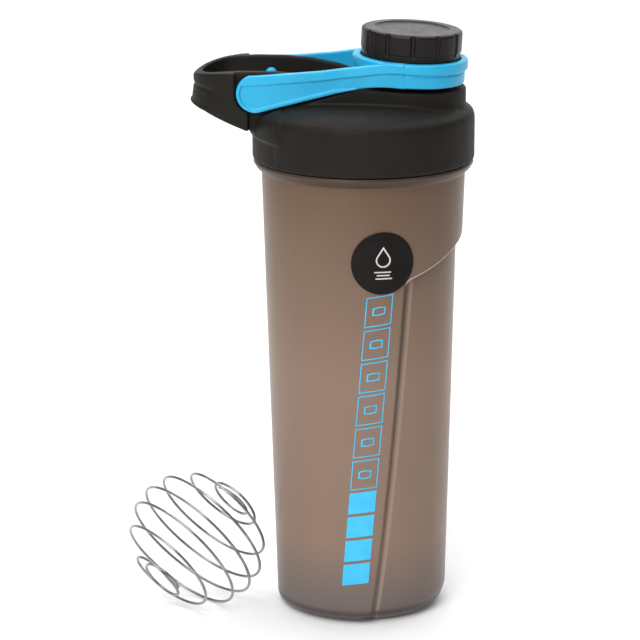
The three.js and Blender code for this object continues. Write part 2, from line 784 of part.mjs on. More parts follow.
function mixerBall() {
  const section = new THREE.Shape(arc(0, 0, BALL.wire, 0, TURN, BALL.sides).slice(0, -1));
  const wire = new THREE.ExtrudeGeometry(section,
    { steps: BALL.steps, extrudePath: new BallCurve(), bevelEnabled: false });
  wire.rotateY(Math.PI / 2 - BALL.lean).rotateZ(BALL.swing);
  wire.computeBoundingBox();
  return solid(wire.translate(BALL.x, BALL.y, -wire.boundingBox.min.z));
}

// ---- the bottle ----

const bottle = new THREE.Group();
bottle.add(
  piece('cup', cup(), smoke),
  piece('round_label', label(), vinyl),
  piece('lid_shell', lidShell(), black),
  piece('lid_gasket', lidGasket(), seal),
  piece('carry_strap', strap(), blue),
  piece('spout_cap', spoutCap(), black),
  piece('cap_liner', capLiner(), seal),
  piece('mixer_ball', mixerBall(), steel),
);

export default bottle;
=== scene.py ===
"""Looks for the protein shaker bottle: moulded pieces, materials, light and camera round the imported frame.

Lengths are in millimetres until a mesh is made, and the row frame is +Z up with the spout towards +X.
"""

import json
import math

import bpy
import numpy as np
import openvdb
from mathutils import Matrix, Vector


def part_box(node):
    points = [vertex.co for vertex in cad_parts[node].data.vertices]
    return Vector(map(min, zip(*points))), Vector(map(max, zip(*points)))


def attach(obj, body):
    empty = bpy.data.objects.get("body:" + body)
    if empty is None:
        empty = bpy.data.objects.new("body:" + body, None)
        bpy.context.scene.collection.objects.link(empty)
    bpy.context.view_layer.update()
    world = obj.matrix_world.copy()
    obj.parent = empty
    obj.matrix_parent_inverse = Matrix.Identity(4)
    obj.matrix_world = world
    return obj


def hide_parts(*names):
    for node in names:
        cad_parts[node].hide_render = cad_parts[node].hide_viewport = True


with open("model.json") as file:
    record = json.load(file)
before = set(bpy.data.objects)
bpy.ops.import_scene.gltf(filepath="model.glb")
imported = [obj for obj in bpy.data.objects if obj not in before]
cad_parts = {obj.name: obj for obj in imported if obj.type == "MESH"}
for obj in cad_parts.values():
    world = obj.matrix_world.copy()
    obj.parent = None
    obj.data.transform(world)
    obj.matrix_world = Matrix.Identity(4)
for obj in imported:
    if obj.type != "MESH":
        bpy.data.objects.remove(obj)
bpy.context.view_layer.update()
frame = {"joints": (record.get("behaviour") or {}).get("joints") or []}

MM = 0.001
TAU = math.tau
JOINTS = {joint["name"]: joint for joint in frame["joints"]}

# ---- driving dimensions, the same as the CAD frame's ----

CUP_BASE_RADIUS = 35.6
CUP_TAPER = 0.0345
CUP_WALL = 1.8
CUP_FLOOR = 3.8
CUP_CORNER = 5.0
CUP_PAD = 11.0
FOOT_INNER = 26.6
FOOT_RECESS = 1.4
BEAD_BOTTOM, BEAD_TOP, BEAD_RADIUS = 187.6, 191.8, 45.2
BEAD_STEP, BEAD_FACE = (44.4, 189.0), (45.4, 190.8)
NECK_RADIUS, NECK_INNER, RIM = 41.0, 39.0, 206.5
GRIP_HALF_WIDTH, GRIP_CORNER, GRIP_CROWN = 34.95, 148.0, 160.6
GRIP_RADIUS, GRIP_TAPER, GRIP_ARCH_POWER = 35.1, 0.0215, 1.45
GRIP_FOOT_ACROSS, GRIP_FOOT_UP = 8.0, 10.0
EDGE_SLANT = 0.42    # at the recess's upright edge, a millimetre along the wall covers about this much of y
LABEL_RADIUS, LABEL_HEIGHT, LABEL_AZIMUTH = 13.0, 156.4, math.radians(17.2)
LID_LEAD, LID_TURNS, NECK_THREAD_START = 5.0, 1.25, 196.0
TILT = math.radians(3.0)
SPOUT_X, SPOUT_Z = 18.7, 223.1
PIVOT = Vector(JOINTS["strap_swing"]["pos_m"]) / MM
ARM_END_X, ARM_END_Z, ARM_END_RADIUS, ARM_END_TOP = -41.9, 221.6, 7.8, 229.0
BALL_LOW, BALL_HIGH = (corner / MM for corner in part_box("mixer_ball"))


# ---- distance fields: negative inside, in millimetres ----

class Field:
    """A block of space sampled at one step. X, Y and Z are thin arrays that broadcast to the whole block."""

    def __init__(self, low, high, step):
        self.low, self.step = low, step
        axes = [np.arange(a, b + step, step, dtype=np.float32) for a, b in zip(low, high)]
        self.X = axes[0][:, None, None]
        self.Y = axes[1][None, :, None]
        self.Z = axes[2][None, None, :]

    def mesh(self, name, distance, place=Matrix.Identity(4)):
        grid = openvdb.FloatGrid()
        shape = (self.X.size, self.Y.size, self.Z.size)
        grid.copyFromArray(np.ascontiguousarray(np.broadcast_to(distance, shape), dtype=np.float32))
        points, triangles, quads = grid.convertToPolygons(0.0, 0.0)
        points = points * self.step + np.array(self.low, np.float32)
        return mesh_object(name, points, triangles, quads[:, ::-1], place)


def mesh_object(name, points, triangles, quads, place=Matrix.Identity(4)):
    mesh = bpy.data.meshes.new(name)
    mesh.vertices.add(len(points))
    mesh.vertices.foreach_set("co", (np.asarray(points, np.float32) * MM).ravel())
    corners = np.concatenate([np.asarray(quads, np.int32).ravel(), np.asarray(triangles, np.int32).ravel()])
    sizes = np.concatenate([np.full(len(quads), 4, np.int32), np.full(len(triangles), 3, np.int32)])
    mesh.loops.add(len(corners))
    mesh.loops.foreach_set("vertex_index", corners)
    mesh.polygons.add(len(sizes))
    mesh.polygons.foreach_set("loop_start", np.concatenate([[0], np.cumsum(sizes)[:-1]]).astype(np.int32))
    mesh.polygons.foreach_set("loop_total", sizes)
    mesh.polygons.foreach_set("use_smooth", np.ones(len(sizes), bool))
    mesh.update(calc_edges=True)
    mesh.validate()
    made = bpy.data.objects.new(name, mesh)
    bpy.context.scene.collection.objects.link(made)
    mesh.transform(place)
    return made


def polygon(px, py, outline):
    """Distance to a closed outline in a plane."""
    nearest = np.float32(1e9)
    sign = np.float32(1.0)
    for (ax, ay), (bx, by) in zip(outline, outline[1:] + outline[:1]):
        ex, ey = bx - ax, by - ay
        wx, wy = px - np.float32(ax), py - np.float32(ay)
        t = np.clip((wx * ex + wy * ey) / np.float32(ex * ex + ey * ey), 0, 1)
        nearest = np.minimum(nearest, (wx - ex * t) ** 2 + (wy - ey * t) ** 2)
        above, below, left = wy >= 0, py < by, ex * wy > ey * wx
        crosses = (above & below & left) | ~(above | below | left)
        sign = np.where(crosses, -sign, sign)
    return sign * np.sqrt(nearest)


def meet(a, b, rounding):
    """Where both are, with the edge between them rounded."""
    a, b = a + rounding, b + rounding
    return np.minimum(np.maximum(a, b), 0) + np.hypot(np.maximum(a, 0), np.maximum(b, 0)) - rounding


def join(a, b, fillet):
    """Where either is, with the corner between them filled."""
    return -meet(-a, -b, fillet)


def cut(a, b, rounding):
    return meet(a, -b, rounding)


def between(value, low, high):
    return np.maximum(low - value, value - high)


def turned(field_r, field_z, profile, low, high, finest=0.1):
    """Distance to a turned solid, read from a table of its half section."""
    reach = float(np.max(field_r)) + 1
    r_axis = np.arange(0, reach, finest, dtype=np.float32)
    z_axis = np.arange(low, high, finest, dtype=np.float32)
    table = polygon(r_axis[:, None], z_axis[None, :], profile)
    r_at = np.clip(field_r / finest, 0, r_axis.size - 1.001)
    z_at = np.clip((field_z - low) / finest, 0, z_axis.size - 1.001)
    r_at, z_at = np.broadcast_arrays(r_at, z_at)
    i, k = r_at.astype(np.int32), z_at.astype(np.int32)
    u, v = r_at - i, z_at - k
    near = table[i, k] * (1 - u) + table[i + 1, k] * u
    far = table[i, k + 1] * (1 - u) + table[i + 1, k + 1] * u
    return near * (1 - v) + far * v


def screw(r, angle, z, root, crest, start, lead, turns, root_width, crest_width, depth_in_wall=0.7):
    """Distance to a thread's ridge, outwards or inwards from root to crest, dying out at both ends."""
    best = None
    outwards = 1 if crest > root else -1
    for turn in range(-1, int(turns) + 2):
        along = angle / TAU + turn
        inside = np.clip(np.minimum(along, turns - along) * 14, -1, 1)
        height = abs(crest - root) * inside
        rise = z - start - lead * along
        depth = (r - root) * outwards - height
        slope = (root_width - crest_width) / 2 / abs(crest - root)
        flank = np.abs(rise) - crest_width / 2 + depth * slope
        foot = -depth_in_wall - (r - root) * outwards
        ridge = np.maximum(np.maximum(depth, flank / math.hypot(1, slope)), foot)
        best = ridge if best is None else np.minimum(best, ridge)
    return best


def arc_points(x, y, radius, start, end, steps):
    return [(x + radius * math.cos(math.radians(a)), y + radius * math.sin(math.radians(a)))
            for a in np.linspace(start, end, steps + 1)]


# Out of the spout's own frame, where its axis is Z, into the bottle's.
SPOUT_PLACE = (Matrix.Translation(Vector((SPOUT_X, 0, SPOUT_Z)) * MM)
               @ Matrix.Rotation(TILT, 4, "Y"))


def spout_frame(field):
    """The spout's own radius, angle and height at each point of a field that lies in the bottle's frame."""
    x, z = field.X - SPOUT_X, field.Z - SPOUT_Z
    along = x * math.cos(TILT) - z * math.sin(TILT)
    up = x * math.sin(TILT) + z * math.cos(TILT)
    return np.hypot(along, field.Y), np.mod(np.arctan2(field.Y, along), TAU), up


# ---- lid ----

SKIRT_BOTTOM = 192.3
LID_OUTSIDE = [(0, SKIRT_BOTTOM), (45.0, SKIRT_BOTTOM), (45.4, 192.45), (45.65, 192.8), (45.8, 193.4),
               (45.8, 208.2), (45.75, 209.6), (45.55, 210.8), (45.15, 211.8), (44.5, 212.55),
               (43.6, 213.15), (41.6, 214.4), (36.5, 216.1), (31.0, 217.2), (18.0, 218.0), (0, 218.2)]
SEAT = 209.1
LID_INSIDE = [(0, 180.0), (43.2, 180.0), (43.2, SEAT), (38.4, SEAT), (38.4, SEAT + 2.0),
              (31.0, 214.9), (0, 215.9)]
TOWER_CENTRE, TOWER_HALF_WIDTH, TOWER_LEFT, TOWER_WALL = 19.4, 22.7, -38.4, 2.4
LOOP_CENTRE, LOOP_REACH, LOOP_HALF_WIDTH, LOOP_WALL = -49.0, 21.3, 24.2, 3.8
BAND_OUTER, BAND_INNER, ROOT_X = 20.9, 17.1, -40.2
REBATE_RADIUS, REBATE_END = ARM_END_RADIUS + 0.55, 250
PEG_HOLE = 2.3
SWING_RADIUS = 10.3    # the lid's deck is hollowed where the strap's round ends sweep through
SWING_TOP, SWING_BACK_X = 216.0, -44.0
HOLLOW_RADIUS, THREAD_ROOT, THREAD_CREST = 37.4, 43.5, 41.8
PAD_FRONT_X, PAD_HALF_WIDTH = -30.5, 35.0
SLOT_FLOOR, SLOT_HALF_WIDTH = 211.5, 24.4
SPOUT_RADIUS, SPOUT_TOP, SPOUT_BORE = 14.4, 19.0, 11.8


def tower(field, inset):
    """The plinth under the spout: straight sides that end in a half circle, and a falling top."""
    half = TOWER_HALF_WIDTH - inset
    plan = np.hypot(np.maximum(field.X - TOWER_CENTRE, 0), field.Y) - half
    plan = meet(plan, TOWER_LEFT + inset - field.X, 1.5)
    slope = math.tan(TILT)
    knee = SPOUT_Z + slope * SPOUT_X - inset
    right = 50.0
    side = [(TOWER_LEFT - 5, 206.0), (right, 206.0), (right, knee - slope * right), (0.0, knee),
            (-1.5, knee - 0.15), (TOWER_LEFT - 5, 211.3 - inset)]
    top = polygon(field.X, field.Z, side)
    return plan, top


def loop_side(field):
    tip = LOOP_CENTRE - LOOP_REACH
    return polygon(field.X, field.Z, [
        (tip - 6, 214.6), (tip, 214.2), (tip + 7, 213.0), (-55.5, 210.2), (ROOT_X, 204.2), (ROOT_X, 210.6),
        (-2.0, 216.0), (-2.0, 223.9), (-12.0, 227.2), (-24.0, 229.5), (-34.0, 230.3), (-46.0, 230.2),
        (-54.0, 229.8), (-60.0, 229.1), (-64.0, 228.4), (-67.0, 227.6), (tip, 226.2), (tip - 6, 224.4)])


def carry_loop(field):
    x, y = field.X, np.abs(field.Y)

    def ellipse(reach, half):
        """Distance to the loop's plan: a half ellipse closing two straight sides."""
        scaled = np.hypot(np.minimum(x - LOOP_CENTRE, 0) / reach, y / half)
        gradient = np.hypot(np.minimum(x - LOOP_CENTRE, 0) / reach ** 2, y / half ** 2)
        return (scaled - 1) * scaled / np.maximum(gradient, 1e-4)

    foot_line = np.interp(x, [-72, -64, -55.5, ROOT_X], [214.2, 213.0, 210.2, 204.2]).astype(np.float32)
    belly = 0.5 * np.exp(-((field.Z - 217.0) / 2.6) ** 2)
    groove = -0.75 * np.exp(-((field.Z - 222.5) / 0.75) ** 2) * np.clip((-58.0 - x) / 5, 0, 1)
    fuller = 1 + 0.7 * np.clip((-55.0 - x) / 4, 0, 1)
    lip = 0.55 * np.exp(-((field.Z - foot_line - 1.3) / 0.9) ** 2) * fuller
    towards_tip = np.clip((ARM_END_X - REBATE_RADIUS - x) / 7, 0, 1)
    outer = ellipse(LOOP_REACH, LOOP_HALF_WIDTH) - (belly + groove + lip) * towards_tip
    shoulder = arc_points(ARM_END_X, ARM_END_Z, REBATE_RADIUS, 180, REBATE_END, 10)
    room = polygon(x, field.Z, [(ARM_END_X - REBATE_RADIUS, 240.0), *shoulder, (shoulder[-1][0], 190.0),
                                (20.0, 190.0), (20.0, 240.0)])
    outer = cut(outer, meet(room, BAND_OUTER - y, 0.4), 0.4)
    hole = ellipse(LOOP_REACH - LOOP_WALL, LOOP_HALF_WIDTH - LOOP_WALL)
    hole = meet(hole, y - BAND_INNER, 2.0)
    band = cut(outer, hole, 0.8)
    band = meet(band, loop_side(field), 0.8)
    peg_hole = np.hypot(x - PIVOT.x, field.Z - PIVOT.z) - PEG_HOLE
    return cut(band, peg_hole, 0.35)


def root_pad(field, radius):
    """The thicker skirt and shoulder at the loop's root, cut down in the middle, where the arms swing."""
    profile = [(44.8, 202.6), (46.7, 203.0), (47.0, 203.6), (47.0, 209.2), (46.6, 211.4), (45.6, 212.9),
               (44.0, 214.0), (41.6, 215.3), (37.5, 216.3), (37.5, 213.0), (43.8, 208.2)]
    ring = polygon(radius, field.Z, profile)
    edge = meet(field.X - PAD_FRONT_X, np.abs(field.Y) - PAD_HALF_WIDTH, 1.2)
    slot = np.maximum(np.abs(field.Y) - SLOT_HALF_WIDTH, SLOT_FLOOR - field.Z)
    return cut(meet(ring, edge, 0.9), slot, 0.6)


def swing_room(field):
    """The space under the strap's round ends that they sweep through."""
    sweep = np.hypot(field.X - PIVOT.x, field.Z - PIVOT.z) - SWING_RADIUS
    beside = between(np.abs(field.Y), BAND_OUTER, SLOT_HALF_WIDTH)
    ends = np.maximum(field.Z - SWING_TOP, SWING_BACK_X - field.X)
    return np.maximum(sweep, np.maximum(beside, ends))


def make_lid():
    low, high = (-74.5, -49.0, 188.5), (48.5, 49.0, 244.5)
    field = Field(low, high, 0.4)
    radius = np.hypot(field.X, field.Y)
    outside = turned(radius, field.Z, LID_OUTSIDE, 180, 250)
    plan, top = tower(field, 0)
    body = join(outside, meet(plan, top, 0.5), 1.1)
    inside = turned(radius, field.Z, LID_INSIDE, 175, 250)
    hollow_plan, hollow_top = tower(field, TOWER_WALL)
    hollow_ends = np.maximum(radius - HOLLOW_RADIUS, SEAT - field.Z)
    hollow = np.maximum(np.maximum(hollow_plan, hollow_top), hollow_ends)
    body = cut(body, np.minimum(inside, hollow), 0.6)
    angle = np.mod(np.arctan2(field.Y, field.X), TAU)
    ridge = screw(radius, angle, field.Z, THREAD_ROOT, THREAD_CREST, NECK_THREAD_START - LID_LEAD / 2,
                  LID_LEAD, LID_TURNS, 2.4, 1.0)
    body = join(body, ridge, 0.5)
    body = join(body, root_pad(field, radius), 0.9)
    body = join(body, carry_loop(field), 1.2)
    body = cut(body, swing_room(field), 0.3)
    r, turn, up = spout_frame(field)
    neck = meet(r - SPOUT_RADIUS, between(up, -7, SPOUT_TOP), 0.7)
    neck = join(neck, screw(r, turn, up, SPOUT_RADIUS - 0.4, 15.3, 7.4, 3.6, 1.5, 1.6, 0.7), 0.4)
    body = join(body, neck, 1.0)
    body = cut(body, np.maximum(r - SPOUT_BORE, between(up, -40, 60)), 0.7)
    return field.mesh("lid_moulding", body)


# ---- strap ----

RING_INNER, RING_WALL, RING_BEAD, RING_BOTTOM, RING_TOP = 20.6, 22.6, 23.7, 1.9, 11.9
ARM_INNER, ARM_OUTER, PANEL_DEPTH = 21.2, 23.7, 1.1
PEG_RADIUS, HEAD_RADIUS, HEAD_LENGTH = 2.0, 2.5, 1.8


def arm_outline(rim, top_rim):
    """Side outline of an arm, or of its panel when a rim draws it in. The lists above and below hold x and
    how far the arm's edge stands off the line of the ring's edge there."""
    slope = math.tan(TILT)

    def on_ring(h, x):
        return SPOUT_Z + h - slope * (x - SPOUT_X)

    end_x = SPOUT_X - slope * RING_BOTTOM + (6 if rim else 0)
    end = [(x, min(z, ARM_END_TOP - top_rim))
           for x, z in arc_points(ARM_END_X, ARM_END_Z, ARM_END_RADIUS - rim, 97, 287, 28)]
    below = [(-9.0, -4.0), (-5.0, -2.9), (-1.0, -1.7), (3.0, -0.9), (8.0, -0.3), (14.0, 0.0)]
    above = [(14.0, 0.0), (9.0, -0.7), (4.5, -1.45), (0.0, -2.4), (-5.0, -3.2), (-15.0, -5.2), (-36.0, -8.3)]
    upper = [(x, on_ring(RING_TOP, x) + drop - top_rim) for x, drop in above]
    lower = [(x, on_ring(RING_BOTTOM, x) + drop + rim * min(1, max(-1, (1.0 - x) / 10))) for x, drop in below]
    return [(end_x, on_ring(RING_BOTTOM, end_x) - rim), (end_x, on_ring(RING_TOP, end_x) - top_rim),
            *upper, *end, *lower]


def make_strap():
    field = Field((-50.5, -26.0, 211.5), (45.5, 26.0, 238.0), 0.3)
    r, _, up = spout_frame(field)
    ring = turned(r, up, [(RING_INNER, RING_BOTTOM), (22.3, RING_BOTTOM), (RING_WALL, 2.3), (RING_WALL, 6.4),
                          (22.2, 7.4), (RING_BEAD - 0.3, 7.7), (RING_BEAD, 8.1), (RING_BEAD, 11.0),
                          (RING_BEAD - 0.35, 11.6), (RING_BEAD - 1.0, RING_TOP), (RING_INNER + 0.3, RING_TOP),
                          (RING_INNER, 11.6), (RING_INNER, 7.9), (19.75, 7.3), (19.75, 6.3),
                          (RING_INNER, 5.7)], -20, 25)
    y = np.abs(field.Y)
    plate = meet(polygon(field.X, field.Z, arm_outline(0, 0)), between(y, ARM_INNER, ARM_OUTER), 0.5)
    panel = np.maximum(polygon(field.X, field.Z, arm_outline(1.5, 3.9)), ARM_OUTER - PANEL_DEPTH - y)
    plate = cut(plate, panel, 0.2)
    around = np.hypot(field.X - PIVOT.x, field.Z - PIVOT.z)
    head_face = BAND_INNER - 0.3
    squash = HEAD_RADIUS / (HEAD_LENGTH + 0.2)
    dome = np.hypot(around, np.minimum(y - head_face + 0.2, 0) * squash) - HEAD_RADIUS
    head = meet(dome, between(y, head_face - HEAD_LENGTH, head_face), 0.25)
    peg = np.maximum(around - PEG_RADIUS, between(y, head_face - 1.2, ARM_INNER + 0.6))
    strap = join(ring, plate, 0.8)
    strap = join(strap, peg, 0.5)
    return field.mesh("strap_moulding", join(strap, head, 0.25))


# ---- spout cap ----

CAP_GRIP, CAP_TOP, FLUTES = 20.7, 23.2, 12
FLUTE_PHASE = math.radians(6.6)


def make_cap():
    field = Field((-21.8, -21.8, -0.5), (21.8, 21.8, 24.0), 0.22)
    r = np.hypot(field.X, field.Y)
    angle = np.mod(np.arctan2(field.Y, field.X), TAU)
    outside = turned(r, field.Z, [
        (0, 0.9), (19.8, 0.9), (20.2, 1.3), (20.2, 5.1), (19.35, 5.6), (19.35, 8.0), (20.2, 8.5),
        (20.2, 14.5),
        (20.5, 14.6), (CAP_GRIP, 14.9), (CAP_GRIP, 22.0), (20.5, 22.5), (20.1, 22.9), (19.6, 23.1),
        (19.0, CAP_TOP), (16.0, CAP_TOP), (15.5, 23.1), (15.2, 22.7), (15.0, 22.6), (0, 22.6)], -10, 35)
    from_flute = np.mod(angle - FLUTE_PHASE + TAU / FLUTES / 2, TAU / FLUTES) - TAU / FLUTES / 2
    groove = np.maximum(np.hypot(from_flute * r, r - 20.65) - 1.0, 13.6 - field.Z)
    body = cut(outside, groove, 0.22)
    inside = np.maximum(r - 18.3, field.Z - 20.7)
    body = cut(body, inside, 0.4)
    ridge = screw(r, angle, field.Z, 18.5, 17.6, 7.4 - 1.8, 3.6, 1.5, 1.6, 0.7)
    return field.mesh("cap_moulding", join(body, ridge, 0.4), SPOUT_PLACE)


# ---- cup, a sheet of rows and columns wrapped round the axis ----

def cup_radius(z):
    return CUP_BASE_RADIUS + CUP_TAPER * z


def grip_radius(z, offset=0.0):
    """The recess's floor. Outside, it curves in towards the foot in a quarter of an ellipse."""
    below = np.clip((GRIP_FOOT_UP - z) / GRIP_FOOT_UP, 0, 1) * (offset == 0)
    return GRIP_RADIUS + GRIP_TAPER * z - offset - GRIP_FOOT_ACROSS * (1 - np.sqrt(1 - below ** 2))


def ramp(value, width):
    return np.clip(value / width, 0, 1)


def grip_share(radius, angle, z, offset, bevel):
    """How far a point of the wall has sunk into the hand recess, 0 to 1. Angle is measured from +X."""
    x, y = radius * np.cos(angle), np.abs(radius * np.sin(angle))
    half = GRIP_HALF_WIDTH + offset
    rise = GRIP_CROWN - GRIP_CORNER
    drop = rise * (y / half) ** GRIP_ARCH_POWER
    steepness = rise * GRIP_ARCH_POWER / half * (y / half) ** (GRIP_ARCH_POWER - 1)
    from_arch = (GRIP_CROWN + offset - drop - z) / np.hypot(1, steepness)
    from_side = np.where(x > 0, half - y, half - radius) / EDGE_SLANT
    turn = 4.0
    both = -(np.minimum(np.maximum(turn - from_arch, turn - from_side), 0)
             + np.hypot(np.maximum(turn - from_arch, 0), np.maximum(turn - from_side, 0)) - turn)
    share = ramp(both, bevel)
    return share * share * (3 - 2 * share) * 0.35 + share * 0.65


def wall_point(radius, angle, z, offset=0.0, bevel=1.0):
    """The wall's true radius at an angle: the plain cone, or the recess's flatter floor."""
    sunk = np.maximum(0, radius - grip_radius(z, offset))
    return radius - sunk * grip_share(radius, angle, z, offset, bevel)


def edge_angle(z):
    """Angle from +X to the recess's long side edge, which stays in one upright plane."""
    at = np.minimum(z, GRIP_CORNER)
    return np.arcsin(np.minimum(GRIP_HALF_WIDTH / cup_radius(at), 0.999))


def column_angles(z):
    """Column angles for rows at heights z. Columns crowd together along the recess's side edges."""
    edge = math.radians(66)
    fine = math.radians(0.16)
    coarse = math.radians(1.3)
    near = math.radians(3.6)
    half = np.concatenate([np.arange(0, edge - near, coarse),
                           np.arange(edge - near, edge + near - fine / 2, fine),
                           np.arange(edge + near, math.pi, coarse)])
    at_edge = edge_angle(z)[:, None]
    warped = np.where(half < edge, half / edge * at_edge,
                      at_edge + (half - edge) / (math.pi - edge) * (math.pi - at_edge))
    return np.concatenate([warped, -warped[:, :0:-1]], axis=1)


def rows_along(profile, step, dense=None):
    """Points along a profile at a steady step, or a finer one inside the dense height range."""
    rows = []
    for (r0, z0), (r1, z1) in zip(profile, profile[1:]):
        length = math.hypot(r1 - r0, z1 - z0)
        pieces = max(1, round(length / step))
        cuts = set(np.linspace(0, 1, pieces + 1)[:-1])
        if dense and abs(z1 - z0) > 5:
            lowest, highest, fine = dense
            for z in np.arange(lowest, highest, fine):
                share = (z - z0) / (z1 - z0)
                if 0 < share < 1:
                    cuts.add(share)
        rows += [(r0 + (r1 - r0) * s, z0 + (z1 - z0) * s) for s in sorted(cuts)]
    return rows + [profile[-1]]


def sheet(name, radii, angles, heights):
    """A closed surface from rows and columns of radius, angle and height, with both ends on the axis."""
    rows, columns = angles.shape
    radii, heights = np.broadcast_to(radii, angles.shape), np.broadcast_to(heights, angles.shape)
    points = np.stack([radii * np.cos(angles), radii * np.sin(angles), heights], -1).reshape(-1, 3)
    first, last = len(points), len(points) + 1
    points = np.vstack([points, [[0, 0, heights[0, 0]], [0, 0, heights[-1, 0]]]])
    index = np.arange(rows * columns).reshape(rows, columns)
    following = np.roll(index, -1, axis=1)
    quads = np.stack([index[:-1], following[:-1], following[1:], index[1:]], -1).reshape(-1, 4)
    start = np.stack([np.full(columns, first), following[0], index[0]], -1)
    end = np.stack([np.full(columns, last), index[-1], following[-1]], -1)
    return mesh_object(name, points, np.vstack([start, end]), quads)


def neck_thread(angle, z):
    """How far the cup's neck thread stands out at a point of the neck."""
    angle = np.mod(angle, TAU)
    height = np.zeros(np.broadcast(angle, z).shape)
    for turn in range(-1, 3):
        along = angle / TAU + turn
        present = np.clip(np.minimum(along, LID_TURNS - along) * 14, 0, 1)
        rise = np.abs(z - NECK_THREAD_START - LID_LEAD * along)
        height = np.maximum(height, present * np.clip((1.25 - rise) / 0.7, 0, 1))
    return 1.5 * height * height * (3 - 2 * height)


def make_cup():
    corner_z = CUP_CORNER
    outer_corner = arc_points(cup_radius(corner_z) - corner_z, corner_z, corner_z, -90, 0, 12)
    foot = [(0.5, 0), (CUP_PAD - 0.4, 0), (CUP_PAD, 0.15), (CUP_PAD + 1, FOOT_RECESS - 0.2),
            (CUP_PAD + 1.6, FOOT_RECESS), (FOOT_INNER - 1.6, FOOT_RECESS),
            (FOOT_INNER - 1, FOOT_RECESS - 0.2), (FOOT_INNER - 0.1, 0.2), (FOOT_INNER + 0.3, 0.0)]
    flange = [(cup_radius(BEAD_BOTTOM - 1), BEAD_BOTTOM - 1), (cup_radius(BEAD_BOTTOM) + 0.05, BEAD_BOTTOM),
              (BEAD_STEP[0] - 0.15, BEAD_STEP[1] - 0.2), (BEAD_STEP[0], BEAD_STEP[1] + 0.1),
              (BEAD_FACE[0] - 0.15, BEAD_FACE[1] - 0.3), (BEAD_FACE[0] + 0.02, BEAD_FACE[1] + 0.02),
              (BEAD_RADIUS, BEAD_TOP - 0.5), (BEAD_RADIUS - 0.1, BEAD_TOP - 0.15),
              (BEAD_RADIUS - 0.4, BEAD_TOP), (NECK_RADIUS + 0.6, BEAD_TOP),
              (NECK_RADIUS + 0.1, BEAD_TOP + 0.3), (NECK_RADIUS, BEAD_TOP + 0.7)]
    outside = rows_along([*foot, *outer_corner, *flange], 1.8, (144.0, 163.5, 0.25))
    neck = rows_along([(NECK_RADIUS, BEAD_TOP + 0.9), (NECK_RADIUS, RIM - 0.6),
                       (NECK_RADIUS - 0.2, RIM - 0.15), (NECK_RADIUS - 0.6, RIM), (NECK_INNER + 0.5, RIM),
                       (NECK_INNER + 0.1, RIM - 0.15), (NECK_INNER, RIM - 0.6)], 0.3)
    rounding = CUP_CORNER - CUP_WALL
    wall_low = cup_radius(CUP_FLOOR + rounding) - CUP_WALL
    inner_corner = arc_points(wall_low - rounding, CUP_FLOOR + rounding, rounding, 0, -90, 8)
    inside = rows_along([(NECK_INNER, RIM - 1.2), (NECK_INNER, BEAD_TOP), (NECK_INNER + 0.3, BEAD_TOP - 2),
                         (cup_radius(BEAD_BOTTOM - 4) - CUP_WALL, BEAD_BOTTOM - 4), *inner_corner,
                         (0.5, CUP_FLOOR)], 1.8, (143.0, 166.0, 0.45))
    r = np.array([p[0] for p in outside + neck + inside])
    z = np.array([p[1] for p in outside + neck + inside])
    angles = column_angles(z)
    r2, z2 = r[:, None], z[:, None]
    count, inner_start = len(outside), len(outside) + len(neck)
    radii = np.broadcast_to(r2, angles.shape).copy()
    radii[:count] = wall_point(r2[:count], angles[:count], z2[:count])
    radii[count:inner_start] += np.where(r2[count:inner_start] > NECK_RADIUS - 0.01,
                                         neck_thread(angles[count:inner_start], z2[count:inner_start]), 0)
    radii[inner_start:] = wall_point(r2[inner_start:], angles[inner_start:], z2[inner_start:], CUP_WALL, 2.6)
    return sheet("cup_moulding", radii, angles, z2)


# ---- what lies on the cup's wall ----

def on_wall(across, z, lift, middle=-math.pi / 2):
    """A point on the cup's outside, by its distance round the wall from an upright line, and its height."""
    angle = middle + across / cup_radius(z)
    radius = wall_point(cup_radius(z), angle, z) + lift
    return np.stack([radius * np.cos(angle), radius * np.sin(angle), z + 0 * radius], -1)


def wall_patch(name, across, z, filled, middle, low, high):
    """A thin skin on the wall: the cells of a grid that are filled, with a top, a bottom and closed edges.
    The grid's points are given by across and z, and filled has one cell fewer each way."""
    rows, columns = across.shape
    top = on_wall(across, z, high, middle).reshape(-1, 3)
    bottom = on_wall(across, z, low, middle).reshape(-1, 3)
    index = np.arange(rows * columns).reshape(rows, columns)
    cell = np.stack([index[:-1, :-1], index[:-1, 1:], index[1:, 1:], index[1:, :-1]], -1)
    quads = cell[filled]
    under = quads[:, ::-1] + rows * columns
    padded = np.pad(filled, 1)
    edges = []
    sides = (((slice(0, -2), slice(1, -1)), 0, 1), ((slice(1, -1), slice(2, None)), 1, 2),
             ((slice(2, None), slice(1, -1)), 2, 3), ((slice(1, -1), slice(0, -2)), 3, 0))
    for neighbour, a, b in sides:
        open_side = filled & ~padded[neighbour]
        chosen = cell[open_side]
        start, end = chosen[:, a], chosen[:, b]
        edges.append(np.stack([end, start, start + rows * columns, end + rows * columns], -1))
    quads = np.vstack([quads, under, *edges])
    used, compact = np.unique(quads, return_inverse=True)
    points = np.vstack([top, bottom])[used]
    return mesh_object(name, points, np.zeros((0, 3), int), compact.reshape(quads.shape))


